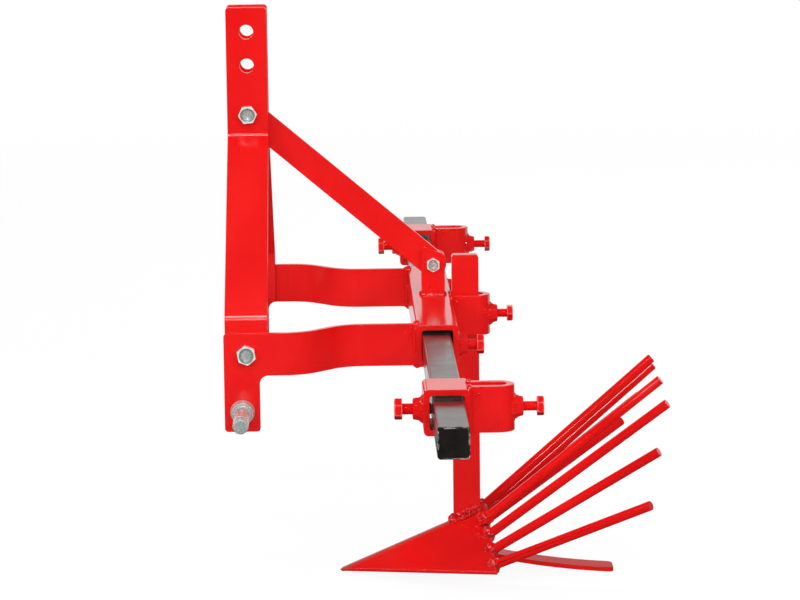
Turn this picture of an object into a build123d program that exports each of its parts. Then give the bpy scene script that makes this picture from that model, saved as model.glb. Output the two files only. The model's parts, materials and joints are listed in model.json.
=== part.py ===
import math
import os

from build123d import *

# A potato digger body hung in the middle holder of a three-point toolbar.
# Sizes are in millimetres and angles in degrees.
# X runs along the toolbar with +X on the implement's left, -Y points forward to the tractor, Z is up.
# While the pieces are made, Y is measured from the sleeve's axis and Z from the ground.

# Fits
seat_gap = 0.3  # between a moving piece and the wall it is pressed against
tip_gap = 0.2  # between a set screw's tip and the bar it locks
set_thread_gap = 0.3  # around a set screw in its welded nut
set_wall_gap = 0.6  # around a set screw in the wall behind its nut
bolt_hole_gap = 0.5  # around a bolt in its hole
bolt_thread_gap = 0.05  # around a bolt in its own nut
plug_gap = 0.1  # around an end cap's plug in the tube
toolbar_play = 4.0  # of the toolbar in the sleeve and collars
slot_play = 4.0  # of a tool shank between the sides of its loop
loop_corner_room = 1.73  # from the shank's rear corners to the bend of the loop
lug_gap = 0.3  # between the brace bar and each lug

# Toolbar and its end caps
toolbar_length = 1892.0
toolbar_side = 40.0
toolbar_wall = 4.0
toolbar_corner = 3.0
toolbar_bore_corner = 1.5
cap_flange = 4.0
cap_flange_corner = 4.0
cap_bevel = 1.0
cap_plug_depth = 16.0
cap_plug_wall = 3.0

# Sleeve and clamp collars, cut from one heavy square tube
housing_wall = 8.0
housing_corner = 6.5
housing_bore_corner = 3.5
sleeve_height = 396.5
sleeve_overhang = 14.0
collar_length = 80.0
clamp_inset = 218.0

# Strip loops that hold the tool shanks
loop_height = 60.0
loop_strip = 10.0

# Set screws of the sleeve and collars
bar_screw_radius = 7.35
bar_screw_neck = 13.5
bar_screw_flats = 24.0
bar_screw_head = 10.0
bar_nut_height = 13.0
sleeve_screw_inset = 20.5

# Set screws of the loops
loop_screw_radius = 6.35
loop_screw_neck = 14.1
loop_screw_flats = 22.0
loop_screw_head = 8.8
loop_nut_height = 11.0
idle_screw_reach = 3.3

# Screw and bolt ends
screw_tip_bevel = 1.2
hexagon_bevel_angle = 25.0
bolt_end = 4.0

# Three-point headstock
lower_pin_span = 683.0
lower_pin_drop = 81.5
lower_pin_radius = 11.0
lower_pin_length = 90.0
lower_pin_bevel = 2.0
shoulder_length = 14.0
shoulder_base_radius = 17.5
shoulder_face_radius = 15.0
linch_hole_radius = 5.5
linch_hole_inset = 14.0
pin_tail_radius = 9.2
pin_nut_flats = 30.0
pin_nut_height = 16.0

arm_thickness = 8.0
arm_width = 60.0
arm_jog = 63.0
arm_jog_run = 59.0
arm_bend_radius = 56.0
arm_behind_mast = 48.0
arm_before_mast = 1.8
arm_corner = 5.0
leg_width = 50.0
leg_below_pin = 28.0
leg_inside_corner = 12.0
mast_bend_radius = 8.0

mast_reach = 269.0
mast_width = 60.0
mast_thickness = 8.0
mast_gap = 52.0
mast_height = 460.0
mast_corner = 5.0
top_hole_radius = 10.5
top_hole_pitch = 49.5
mast_above_hole = 36.0
top_bolt_below_hole = 72.0
mast_bend_below_bolt = 33.0
mast_bend_above_arm = 21.0
mast_tab_below_bolt = 28.5

brace_width = 40.0
brace_thickness = 8.0
spacer_radius = 14.0
lug_thickness = 8.0
lug_width = 34.6
lug_front_rise = 28.2
lug_rear_rise = 15.7
lug_corner = 6.0
lug_bolt_y = 2.5
lug_bolt_height = 46.3

# Bolts of the headstock
mast_bolt_radius = 7.35
mast_bolt_flats = 24.0
mast_bolt_head = 10.0
mast_nut_height = 13.0
top_bolt_turn = 35.0
arm_bolt_turn = 9.0
brace_bolt_radius = 5.45
brace_bolt_flats = 18.0
brace_bolt_head = 7.5
brace_nut_height = 10.0

# Digger shank
shank_thickness = 20.0
shank_width = 40.0
shank_above_sleeve = 60.0
shank_corner = 4.5

# Share, one plate bent along its ridge
share_thickness = 6.0
share_tip_height = 7.8
ridge_length = 245.3
ridge_overhang = 9.7
ridge_angle = 23.24
ridge_outer_radius = 20.0
ridge_inner_radius = 14.0
wing_reach = 170.0
wing_corner_back = 6.0
wing_corner_height = 40.0
tip_bevel_drop = 3.3
tip_bevel_angle = 33.0

# Heel bar and the web under the ridge
heel_width = 40.0
heel_thickness = 7.0
heel_radius = 1140.0
heel_end_angle = 3.23
heel_behind_shank = 200.7
heel_corner = 8.0
web_thickness = 8.0
web_length = 64.0
web_inset = 8.0

# Lifting rods, a fan of four on each wing
rod_radius = 7.0
rod_overlap = 4.0
left_rod_1_length = 335.5
left_rod_2_length = 337.0
left_rod_3_length = 301.0
left_rod_4_length = 285.0
right_rod_1_length = 339.3
right_rod_2_length = 345.0
right_rod_3_length = 312.0
right_rod_4_length = 298.0
# height of each rod's axis over the wing's upper face at the rear edge
rod_1_seat = 5.4
rod_2_seat = -2.3
rod_3_seat = -3.5
rod_4_seat = -4.4
# foot's place from the ridge (0) to the wing's corner (1), seat, splay, rise, left and right length
rod_fan = (
    (0.250, rod_1_seat, 8.8, 39.6, left_rod_1_length, right_rod_1_length),
    (0.423, rod_2_seat, 15.5, 37.9, left_rod_2_length, right_rod_2_length),
    (0.652, rod_3_seat, 20.8, 32.8, left_rod_3_length, right_rod_3_length),
    (0.862, rod_4_seat, 34.3, 24.6, left_rod_4_length, right_rod_4_length),
)

# Places that follow from the sizes above
housing_bore = toolbar_side + toolbar_play
housing_side = housing_bore + 2 * housing_wall
bar_shift = toolbar_play / 2 - seat_gap
toolbar_y = -bar_shift
toolbar_height = sleeve_height - bar_shift
collar_y = toolbar_y - bar_shift
sleeve_rear = housing_side / 2
sleeve_front = -housing_side / 2
sleeve_top = sleeve_height + housing_side / 2
collar_rear = collar_y + housing_side / 2
collar_front = collar_y - housing_side / 2
clamp_offset = toolbar_length / 2 - clamp_inset
bar_screw_tip = toolbar_y + toolbar_side / 2 + tip_gap
bar_screw_length = sleeve_rear + bar_nut_height + bar_screw_neck - bar_screw_tip

shank_front = sleeve_rear + seat_gap
shank_rear = shank_front + shank_width
loop_slot = shank_thickness + slot_play
loop_bend = loop_slot / 2
loop_bend_depth = loop_bend - math.sqrt(loop_bend**2 - (shank_thickness / 2) ** 2)
loop_depth = seat_gap + shank_width + loop_corner_room + loop_bend_depth
loop_length = loop_depth + loop_strip
loop_screw_tip = shank_rear + tip_gap
loop_screw_length = sleeve_rear + loop_length + loop_nut_height + loop_screw_neck - loop_screw_tip

arm_reach = mast_reach + mast_width / 2 + arm_before_mast
arm_jog_front = mast_reach - mast_width / 2 - arm_behind_mast
arm_jog_rear = arm_jog_front - arm_jog_run
arm_outer = lower_pin_span / 2 - shoulder_length
arm_inner = arm_outer - arm_thickness
sleeve_length = 2 * (arm_outer - arm_jog + sleeve_overhang)
sleeve_screw_x = sleeve_length / 2 - sleeve_screw_inset
arm_top = sleeve_height + arm_width / 2
arm_bottom = sleeve_height - arm_width / 2
leg_rear = leg_width - arm_reach
lower_pin_height = sleeve_height - lower_pin_drop
leg_bottom = lower_pin_height - leg_below_pin
lower_pin_y = leg_width / 2 - arm_reach
mast_outer = mast_gap / 2 + mast_thickness
top_hole_low = lower_pin_height + mast_height
top_hole_high = top_hole_low + top_hole_pitch
top_bolt_height = top_hole_low - top_bolt_below_hole
mast_top = top_hole_high + mast_above_hole
tab_inner = arm_inner - mast_thickness
lug_front = lug_bolt_y - lug_width / 2
lug_rear = lug_bolt_y + lug_width / 2
lug_inner = brace_thickness / 2 + lug_gap
lug_outer = lug_inner + lug_thickness
brace_bolt_height = sleeve_top + lug_bolt_height

ridge_run = math.cos(math.radians(ridge_angle)) * ridge_length
ridge_rise = math.sin(math.radians(ridge_angle)) * ridge_length
ridge_end = Vector(0, shank_rear + ridge_overhang, share_tip_height + ridge_rise)
share_tip = ridge_end - Vector(0, ridge_run, ridge_rise)
wing_corner = Vector(wing_reach, ridge_end.Y + wing_corner_back, wing_corner_height)
wing_up = (wing_corner - share_tip).cross(ridge_end - share_tip).normalized()
heel_outer_radius = heel_radius + heel_thickness
heel_end_y = shank_rear + heel_behind_shank
heel_front_y = (share_tip.Y + shank_front) / 2
heel_centre_y = heel_end_y + heel_outer_radius * math.sin(math.radians(heel_end_angle))
heel_centre_z = heel_outer_radius * math.cos(math.radians(heel_end_angle))

to_left = Rot(0, 90, 0)
to_right = Rot(0, -90, 0)
to_rear = Rot(-90, 0, 0)
to_front = Rot(90, 0, 0)
upright = (Align.CENTER, Align.CENTER, Align.MIN)


# Shapes made along +Z from the origin

def peg(radius, length):
    return Cylinder(radius, length, align=upright)


def hexagon(flats, height, both_ends):
    corner = flats / 2 / math.cos(math.pi / 6)
    drop = (corner - flats / 2) * math.tan(math.radians(hexagon_bevel_angle))
    foot = [(flats / 2, 0), (corner, drop)] if both_ends else [(corner, 0)]
    outline = [(0, 0)] + foot + [(corner, height - drop), (flats / 2, height), (0, height)]
    turned = revolve(Plane.XZ * make_face(Polyline(*outline, close=True)), axis=Axis.Z)
    prism = extrude(RegularPolygon(corner, 6), amount=height)
    return prism & turned


def hex_screw(radius, length, flats, head):
    shaft = peg(radius, length)
    shaft = chamfer(shaft.edges().group_by(Axis.Z)[0], screw_tip_bevel)
    return shaft + Pos(0, 0, length) * hexagon(flats, head, False)


def hex_nut(radius, flats, height, gap):
    return hexagon(flats, height, True) - peg(radius + gap, height)


# Shapes along X

def square_tube(length, side, wall, corner, bore_corner):
    bore = side - 2 * wall
    section = RectangleRounded(side, side, corner) - RectangleRounded(bore, bore, bore_corner)
    return extrude(Plane.YZ * section, amount=length / 2, both=True)


def plate(outline, inner, outer):
    return extrude(Plane.YZ.offset(inner) * outline, amount=outer - inner)


def mirrored(shape):
    return mirror(shape, about=Plane.YZ)


pieces = {}


def add_pair(name, left):
    pieces["left_" + name] = left
    pieces["right_" + name] = mirrored(left)


# Toolbar and end caps

pieces["toolbar"] = Pos(0, toolbar_y, toolbar_height) * square_tube(
    toolbar_length, toolbar_side, toolbar_wall, toolbar_corner, toolbar_bore_corner
)

plug_side = toolbar_side - 2 * toolbar_wall - 2 * plug_gap
cap_face = extrude(RectangleRounded(toolbar_side, toolbar_side, cap_flange_corner), amount=cap_flange)
cap_face = chamfer(cap_face.edges().group_by(Axis.Z)[-1], cap_bevel)
plug_ring = RectangleRounded(plug_side, plug_side, toolbar_bore_corner)
plug_hollow = plug_side - 2 * cap_plug_wall
plug_ring -= Rectangle(plug_hollow, plug_hollow)
end_cap = cap_face + extrude(plug_ring, amount=-cap_plug_depth)
add_pair("end_cap", Pos(toolbar_length / 2, toolbar_y, toolbar_height) * to_left * end_cap)


# Sleeve, collars and the holes for their set screws

bar_screw_hole = peg(bar_screw_radius + set_wall_gap, housing_side / 2)
sleeve = Pos(0, 0, sleeve_height) * square_tube(
    sleeve_length, housing_side, housing_wall, housing_corner, housing_bore_corner
)
for x in (sleeve_screw_x, -sleeve_screw_x):
    sleeve -= Pos(x, 0, toolbar_height) * to_rear * bar_screw_hole
pieces["sleeve"] = sleeve

collar = Pos(0, collar_y, sleeve_height) * square_tube(
    collar_length, housing_side, housing_wall, housing_corner, housing_bore_corner
)
collar -= Pos(0, collar_y, toolbar_height) * to_front * bar_screw_hole
add_pair("collar", Pos(clamp_offset, 0, 0) * collar)


# Strip loops, each a strip bent round the tool slot

def tool_loop(base_y):
    def slot(width, depth):
        straight = depth - width / 2
        return Pos(0, straight / 2) * Rectangle(width, straight) + Pos(0, straight) * Circle(width / 2)

    outline = slot(loop_slot + 2 * loop_strip, loop_length) - slot(loop_slot, loop_depth)
    loop = Pos(0, base_y, sleeve_height - loop_height / 2) * extrude(outline, amount=loop_height)
    hole = peg(loop_screw_radius + set_wall_gap, loop_length)
    return loop - Pos(0, base_y + loop_bend, sleeve_height) * to_rear * hole


pieces["centre_loop"] = tool_loop(sleeve_rear)
add_pair("loop", Pos(clamp_offset, 0, 0) * tool_loop(collar_rear))


# Welded nuts and set screws, corner up

corner_up = Rot(0, 0, 30)
bar_nut = corner_up * hex_nut(bar_screw_radius, bar_screw_flats, bar_nut_height, set_thread_gap)
bar_screw = corner_up * hex_screw(bar_screw_radius, bar_screw_length, bar_screw_flats, bar_screw_head)
loop_nut = corner_up * hex_nut(loop_screw_radius, loop_screw_flats, loop_nut_height, set_thread_gap)
loop_screw = hex_screw(loop_screw_radius, loop_screw_length, loop_screw_flats, loop_screw_head)

sleeve_nut = Pos(sleeve_screw_x, sleeve_rear, toolbar_height) * to_rear * bar_nut
pieces["sleeve_nuts"] = sleeve_nut + mirrored(sleeve_nut)
add_pair("sleeve_screw", Pos(sleeve_screw_x, bar_screw_tip, toolbar_height) * to_rear * bar_screw)

add_pair("collar_nut", Pos(clamp_offset, collar_front, toolbar_height) * to_front * bar_nut)
collar_screw_tip = toolbar_y - toolbar_side / 2 - tip_gap
add_pair("collar_screw", Pos(clamp_offset, collar_screw_tip, toolbar_height) * to_front * bar_screw)

pieces["centre_loop_nut"] = Pos(0, sleeve_rear + loop_length, sleeve_height) * to_rear * loop_nut
pieces["centre_loop_screw"] = Pos(0, loop_screw_tip, sleeve_height) * to_rear * loop_screw
add_pair("loop_nut", Pos(clamp_offset, collar_rear + loop_length, sleeve_height) * to_rear * loop_nut)
idle_tip = collar_rear + loop_depth - idle_screw_reach
add_pair("loop_screw", Pos(clamp_offset, idle_tip, sleeve_height) * to_rear * corner_up * loop_screw)


# Side arms, bent inward from the hitch legs to the sleeve

arm_middle = arm_outer - arm_thickness / 2
arm_path = FilletPolyline(
    (arm_middle, -arm_reach),
    (arm_middle, -arm_jog_front),
    (arm_middle - arm_jog, -arm_jog_rear),
    (arm_middle - arm_jog, sleeve_front),
    radius=arm_bend_radius + arm_thickness / 2,
)
arm_strip = Pos(0, 0, leg_bottom) * extrude(trace(arm_path, arm_thickness), amount=arm_top - leg_bottom)
arm_outline = make_face(
    FilletPolyline(
        (-arm_reach, leg_bottom),
        (leg_rear, leg_bottom),
        (leg_rear, arm_bottom),
        (sleeve_front, arm_bottom),
        (sleeve_front, arm_top),
        (-arm_reach, arm_top),
        close=True,
        radius=[arm_corner, arm_corner, leg_inside_corner, 0, 0, arm_corner],
    )
)
arm = arm_strip & plate(arm_outline, 0, arm_outer)
mast_bolt_hole = peg(mast_bolt_radius + bolt_hole_gap, arm_outer)
pin_tail_hole = peg(pin_tail_radius + bolt_hole_gap, arm_outer)
arm -= Pos(0, -mast_reach, sleeve_height) * to_left * mast_bolt_hole
arm -= Pos(0, lower_pin_y, lower_pin_height) * to_left * pin_tail_hole
add_pair("arm", arm)


# Lower hitch pins with tapered shoulders, held by nuts inside the legs

pin_tail_length = arm_thickness + pin_nut_height + bolt_end
shoulder = Cone(shoulder_base_radius, shoulder_face_radius, shoulder_length, align=upright)
pin = peg(lower_pin_radius, shoulder_length + lower_pin_length)
pin = chamfer(pin.edges().group_by(Axis.Z)[-1], lower_pin_bevel)
linch_height = shoulder_length + lower_pin_length - linch_hole_inset
pin -= Pos(lower_pin_radius, 0, linch_height) * to_right * peg(linch_hole_radius, 2 * lower_pin_radius)
pin_tail = Rot(180, 0, 0) * peg(pin_tail_radius, pin_tail_length)
pin_tail = chamfer(pin_tail.edges().group_by(Axis.Z)[0], screw_tip_bevel)
hitch_pin = shoulder + pin + pin_tail
add_pair("hitch_pin", Pos(arm_outer, lower_pin_y, lower_pin_height) * to_left * hitch_pin)
pin_nut = hex_nut(pin_tail_radius, pin_nut_flats, pin_nut_height, bolt_thread_gap)
pin_nut = Pos(arm_inner, lower_pin_y, lower_pin_height) * to_right * pin_nut
pieces["hitch_pin_nuts"] = pin_nut + mirrored(pin_nut)


# Mast bars, close together at the top and spread to the arms

mast_middle = mast_gap / 2 + mast_thickness / 2
tab_middle = tab_inner + mast_thickness / 2
mast_path = FilletPolyline(
    (mast_middle, mast_top),
    (mast_middle, top_bolt_height - mast_bend_below_bolt),
    (tab_middle, arm_top + mast_bend_above_arm),
    (tab_middle, sleeve_height - mast_tab_below_bolt),
    radius=mast_bend_radius + mast_thickness / 2,
)
mast_strip = extrude(Plane.XZ * trace(mast_path, mast_thickness), amount=mast_width / 2, both=True)
mast_ends = mast_strip.edges().filter_by(Axis.X).filter_by(
    lambda edge: abs(edge.length - mast_thickness) < mast_thickness / 10
)
mast_bar = Pos(0, -mast_reach, 0) * fillet(mast_ends, mast_corner)
for height, radius, reach in (
    (top_hole_low, top_hole_radius, mast_outer),
    (top_hole_high, top_hole_radius, mast_outer),
    (top_bolt_height, mast_bolt_radius + bolt_hole_gap, mast_outer),
    (sleeve_height, mast_bolt_radius + bolt_hole_gap, arm_inner),
):
    mast_bar -= Pos(0, -mast_reach, height) * to_left * peg(radius, reach)
add_pair("mast_bar", mast_bar)


# Bolts that hold the mast bars

top_bolt_length = 2 * mast_outer + mast_nut_height + bolt_end
top_bolt = hex_screw(mast_bolt_radius, top_bolt_length, mast_bolt_flats, mast_bolt_head)
top_bolt_place = Pos(mast_outer - top_bolt_length, -mast_reach, top_bolt_height)
pieces["top_bolt"] = top_bolt_place * to_left * Rot(0, 0, top_bolt_turn) * top_bolt
mast_nut = hex_nut(mast_bolt_radius, mast_bolt_flats, mast_nut_height, bolt_thread_gap)
pieces["top_nut"] = Pos(-mast_outer, -mast_reach, top_bolt_height) * to_right * mast_nut

arm_bolt_length = arm_outer - tab_inner + mast_nut_height + bolt_end
arm_bolt = hex_screw(mast_bolt_radius, arm_bolt_length, mast_bolt_flats, mast_bolt_head)
arm_bolt = to_left * Rot(0, 0, arm_bolt_turn) * arm_bolt
add_pair("arm_bolt", Pos(arm_outer - arm_bolt_length, -mast_reach, sleeve_height) * arm_bolt)
arm_nut = Pos(tab_inner, -mast_reach, sleeve_height) * to_right * mast_nut
pieces["arm_nuts"] = arm_nut + mirrored(arm_nut)


# Brace bar from the top bolt down to the lugs on the sleeve

brace_run = lug_bolt_y + mast_reach
brace_drop = brace_bolt_height - top_bolt_height
brace_centres = math.hypot(brace_run, brace_drop)
brace_outline = SlotCenterToCenter(brace_centres, brace_width)
brace_outline -= Pos(-brace_centres / 2, 0) * Circle(mast_bolt_radius + bolt_hole_gap)
brace_outline -= Pos(brace_centres / 2, 0) * Circle(brace_bolt_radius + bolt_hole_gap)
brace_place = Pos((lug_bolt_y - mast_reach) / 2, (top_bolt_height + brace_bolt_height) / 2)
brace_turn = Rot(0, 0, math.degrees(math.atan2(brace_drop, brace_run)))
pieces["brace_bar"] = plate(
    brace_place * brace_turn * brace_outline, -brace_thickness / 2, brace_thickness / 2
)

spacer_length = (mast_gap - brace_thickness) / 2
spacer = peg(spacer_radius, spacer_length) - peg(mast_bolt_radius + bolt_hole_gap, spacer_length)
spacer = Pos(brace_thickness / 2, -mast_reach, top_bolt_height) * to_left * spacer
pieces["brace_spacers"] = spacer + mirrored(spacer)

lug_outline = make_face(
    FilletPolyline(
        (lug_front, sleeve_top),
        (lug_rear, sleeve_top),
        (lug_rear, brace_bolt_height + lug_rear_rise),
        (lug_front, brace_bolt_height + lug_front_rise),
        close=True,
        radius=[0, 0, lug_corner, lug_corner],
    )
)
lug_outline -= Pos(lug_bolt_y, brace_bolt_height) * Circle(brace_bolt_radius + bolt_hole_gap)
lug = plate(lug_outline, lug_inner, lug_outer)
pieces["brace_lugs"] = lug + mirrored(lug)

brace_bolt_length = 2 * lug_outer + brace_nut_height + bolt_end
brace_bolt = hex_screw(brace_bolt_radius, brace_bolt_length, brace_bolt_flats, brace_bolt_head)
brace_bolt_place = Pos(lug_outer - brace_bolt_length, lug_bolt_y, brace_bolt_height)
pieces["brace_bolt"] = brace_bolt_place * to_left * brace_bolt
brace_nut = hex_nut(brace_bolt_radius, brace_bolt_flats, brace_nut_height, bolt_thread_gap)
pieces["brace_nut"] = Pos(-lug_outer, lug_bolt_y, brace_bolt_height) * to_right * brace_nut


# Share: two wings meeting at the ridge

wing_cut_depth = 2 * ridge_end.Z
half_side = 4 * (ridge_length + wing_reach)
left_half = Box(half_side, half_side, half_side, align=(Align.MIN, Align.CENTER, Align.CENTER))


def wing_slab(level, depth, way):
    corners = [corner + wing_up * level for corner in (share_tip, ridge_end, wing_corner)]
    return extrude(make_face(Polyline(*corners, close=True)), amount=depth, dir=way) & left_half


def ridge_edges(shape):
    def along_ridge(edge):
        return abs(edge.center().X) < ridge_inner_radius / 10 and edge.length > ridge_length / 2

    return shape.edges().filter_by(along_ridge).sort_by(Axis.Z)


wing = wing_slab(0, share_thickness, -wing_up)
share = wing + mirrored(wing)
share = fillet(ridge_edges(share)[-1], ridge_outer_radius)
share = fillet(ridge_edges(share)[0], ridge_inner_radius)
bevel_up = Vector(0, -math.sin(math.radians(tip_bevel_angle)), math.cos(math.radians(tip_bevel_angle)))
bevel_plane = Plane(share_tip - Vector(0, 0, tip_bevel_drop), x_dir=(1, 0, 0), z_dir=bevel_up)
share -= bevel_plane * Box(wing_reach, wing_cut_depth, wing_cut_depth, align=upright)
pieces["share"] = share

above_left = wing_slab(-share_thickness, wing_cut_depth, (0, 0, 1))
below_left = wing_slab(0, wing_cut_depth, (0, 0, -1))
above_share = above_left + mirrored(above_left) + share
below_share = below_left + mirrored(below_left)
below_share = fillet(ridge_edges(below_share)[-1], ridge_outer_radius)


# Shank, notched over the ridge

shank_top = sleeve_top + shank_above_sleeve
shank_outline = make_face(
    FilletPolyline(
        (shank_front, 0),
        (shank_rear, 0),
        (shank_rear, shank_top),
        (shank_front, shank_top),
        close=True,
        radius=[0, 0, shank_corner, shank_corner],
    )
)
shank = plate(shank_outline, -shank_thickness / 2, shank_thickness / 2) - below_share
pieces["shank"] = shank


# Heel bar, curved up to the undersides of the wings

def heel_point(radius, y):
    return (y, heel_centre_z - math.sqrt(radius**2 - (y - heel_centre_y) ** 2))


def heel_arc(radius):
    stations = (heel_front_y, (heel_front_y + heel_end_y) / 2, heel_end_y)
    return ThreePointArc(*(heel_point(radius, y) for y in stations))


heel_top = heel_arc(heel_radius)
heel_sole = heel_arc(heel_outer_radius)
heel_outline = make_face(
    [heel_top, heel_sole, Line(heel_top @ 0, heel_sole @ 0), Line(heel_top @ 1, heel_sole @ 1)]
)
heel = plate(heel_outline, -heel_width / 2, heel_width / 2)
heel = fillet(heel.edges().filter_by(Axis.Z).group_by(Axis.Y)[-1], heel_corner)
pieces["heel"] = heel - above_share


# Web between the ridge and the heel bar

web_middle = ridge_end.Y - web_inset - web_length / 2
web_outline = Pos(web_middle, ridge_end.Z / 2) * Rectangle(web_length, ridge_end.Z)
web = plate(web_outline, -web_thickness / 2, web_thickness / 2) - above_share
heel_round = Pos(-heel_width, heel_centre_y, heel_centre_z) * to_left * peg(heel_radius, 2 * heel_width)
pieces["share_web"] = web & heel_round


# Lifting rods welded on the rear edges of the wings

def lifting_rod(foot, seat, splay, rise, length):
    base = ridge_end + (wing_corner - ridge_end) * foot + wing_up * seat
    run = Vector(0, 1, 0).rotate(Axis.X, rise).rotate(Axis.Z, -splay)
    rod = Plane(base - run * rod_overlap, z_dir=run) * peg(rod_radius, rod_overlap + length)
    return rod - below_left - share


for number, (foot, seat, splay, rise, left_length, right_length) in enumerate(rod_fan, 1):
    pieces[f"left_rod_{number}"] = lifting_rod(foot, seat, splay, rise, left_length)
    pieces[f"right_rod_{number}"] = mirrored(lifting_rod(foot, seat, splay, rise, right_length))


# The origin goes to the middle of the footprint, on the ground

boxes = [piece.bounding_box() for piece in pieces.values()]
middle_y = (min(box.min.Y for box in boxes) + max(box.max.Y for box in boxes)) / 2
ground = min(box.min.Z for box in boxes)
os.makedirs("parts", exist_ok=True)
for name, piece in pieces.items():
    export_step(Pos(0, -middle_y, -ground) * piece, f"parts/{name}.step")
print(len(pieces), "pieces, moved back by", round(-middle_y, 3), "and up by", round(-ground, 3))
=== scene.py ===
import json
import math
import random

import bmesh
import bpy
import numpy as np
from mathutils import Matrix, Vector, noise


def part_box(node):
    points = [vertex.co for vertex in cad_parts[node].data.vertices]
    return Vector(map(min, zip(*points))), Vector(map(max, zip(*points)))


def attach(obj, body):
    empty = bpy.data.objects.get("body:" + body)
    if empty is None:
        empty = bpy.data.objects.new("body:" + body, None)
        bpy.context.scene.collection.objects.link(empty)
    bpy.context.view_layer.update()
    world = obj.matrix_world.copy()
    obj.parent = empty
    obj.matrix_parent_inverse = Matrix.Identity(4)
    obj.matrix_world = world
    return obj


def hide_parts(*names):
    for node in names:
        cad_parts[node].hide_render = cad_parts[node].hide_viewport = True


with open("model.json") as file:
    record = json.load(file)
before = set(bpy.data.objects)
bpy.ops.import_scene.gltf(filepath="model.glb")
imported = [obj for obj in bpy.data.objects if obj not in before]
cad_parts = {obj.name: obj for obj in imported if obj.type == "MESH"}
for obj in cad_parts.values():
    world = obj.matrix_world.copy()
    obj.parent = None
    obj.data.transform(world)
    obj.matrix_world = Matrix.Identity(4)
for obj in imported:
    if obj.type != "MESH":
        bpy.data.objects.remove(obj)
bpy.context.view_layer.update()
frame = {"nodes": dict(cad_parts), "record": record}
nodes = frame["nodes"]
bodyOf = {name: body for body, names in frame["record"]["behaviour"]["bodies"].items() for name in names}
slotOf = {row["node"]: row["material_slot"] for row in frame["record"]["subparts"]}
sideSigns = (("left", 1), ("right", -1))
mm = 0.001
print("frame loaded with", len(nodes), "nodes")


# camera, fitted to the photograph
cameraSet = {
    "place": (4.8120, -0.1619, 1.1963),
    "aim": (-0.98701, 0.01845, -0.15962),
    "up": (-0.15936, 0.01458, 0.98711),
    "lens": 146.59,
    "sensor": 36.0,
}


def makeCamera(s):
    data = bpy.data.cameras.new("photoCamera")
    data.lens = s["lens"]
    data.sensor_width = s["sensor"]
    data.clip_end = 200
    camera = bpy.data.objects.new("photoCamera", data)
    bpy.context.scene.collection.objects.link(camera)
    back = -Vector(s["aim"]).normalized()
    right = Vector(s["up"]).cross(back).normalized()
    up = back.cross(right)
    turn = Matrix((right, up, back)).transposed().to_4x4()
    camera.matrix_world = Matrix.Translation(s["place"]) @ turn
    bpy.context.scene.camera = camera


makeCamera(cameraSet)
bpy.context.scene.view_settings.view_transform = "Standard"
print("camera placed")


# small helpers for shader trees
def addNode(tree, kind, **values):
    node = tree.nodes.new(kind)
    for key, value in values.items():
        if key in node.inputs:
            node.inputs[key].default_value = value
        else:
            setattr(node, key, value)
    return node


def freshTree(owner):
    owner.use_nodes = True
    owner.node_tree.nodes.clear()
    return owner.node_tree


def rangeNode(tree, source, start, end, low, high, smooth=False):
    node = addNode(tree, "ShaderNodeMapRange")
    if smooth:
        node.interpolation_type = "SMOOTHSTEP"
    node.inputs["From Min"].default_value = start
    node.inputs["From Max"].default_value = end
    node.inputs["To Min"].default_value = low
    node.inputs["To Max"].default_value = high
    tree.links.new(source, node.inputs["Value"])
    return node.outputs["Result"]


def mathNode(tree, operation, first, second):
    node = addNode(tree, "ShaderNodeMath", operation=operation)
    for socket, value in zip(node.inputs, (first, second)):
        if isinstance(value, (int, float)):
            socket.default_value = value
        else:
            tree.links.new(value, socket)
    return node.outputs[0]


def mixShader(tree, share, first, second):
    node = addNode(tree, "ShaderNodeMixShader")
    tree.links.new(share, node.inputs[0])
    tree.links.new(first, node.inputs[1])
    tree.links.new(second, node.inputs[2])
    return node.outputs[0]


# studio: white sweep behind, darker room on the camera's side and overhead
studioSet = {
    "ambient": 0.28,
    "sweepGlow": 0.86,
    "roomGlow": 0.03,
    "sweepEdge": (-0.30, -0.75),    # how far back the white sweep begins
    "sweepTop": (0.55, 0.25),       # how high it reaches
    "floorRadius": 7.0,
    "floorFade": 3.0,
    "floorColour": (0.7, 0.7, 0.7, 1),
    "floorWhite": 0.88,             # share of the floor that stays white under the shadow
    "floorGlow": 1.06,
    "floorFar": (-1.7, -0.7),       # where the floor turns from white to dark in the gloss
    "lamps": (
        # name, place, width, height, watts, seen in gloss
        ("keyStrip", (3.9, 0.1, 4.1), 3.4, 0.5, 78, True),
        ("lowStrip", (6.0, -0.45, 2.2), 0.6, 0.4, 10, True),
        ("lowFill", (6.0, -0.2, 2.2), 3.0, 0.4, 40, False),
        ("frontGlint", (4.6, -3.2, 2.4), 0.35, 0.35, 22, True),
        ("frontSoftbox", (4.6, -3.2, 2.4), 1.2, 1.2, 46, False),
        ("sideGlint", (4.2, 3.2, 2.4), 0.35, 0.35, 22, True),
        ("sideSoftbox", (4.2, 3.2, 2.4), 1.2, 1.2, 38, False),
        ("rearSoftbox", (-4.6, 1.6, 3.0), 2.0, 2.0, 70, False),
        ("skyPanel", (0.5, -1.2, 4.2), 2.0, 2.0, 30, False),
        ("rodGlint", (1.2, -4.6, 2.0), 0.6, 0.5, 9, True),
        ("nosePanel", (1.0, -4.6, 2.0), 1.8, 0.8, 21, False),
    ),
    "lampTarget": (0.0, 0.0, 0.4),
}


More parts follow.
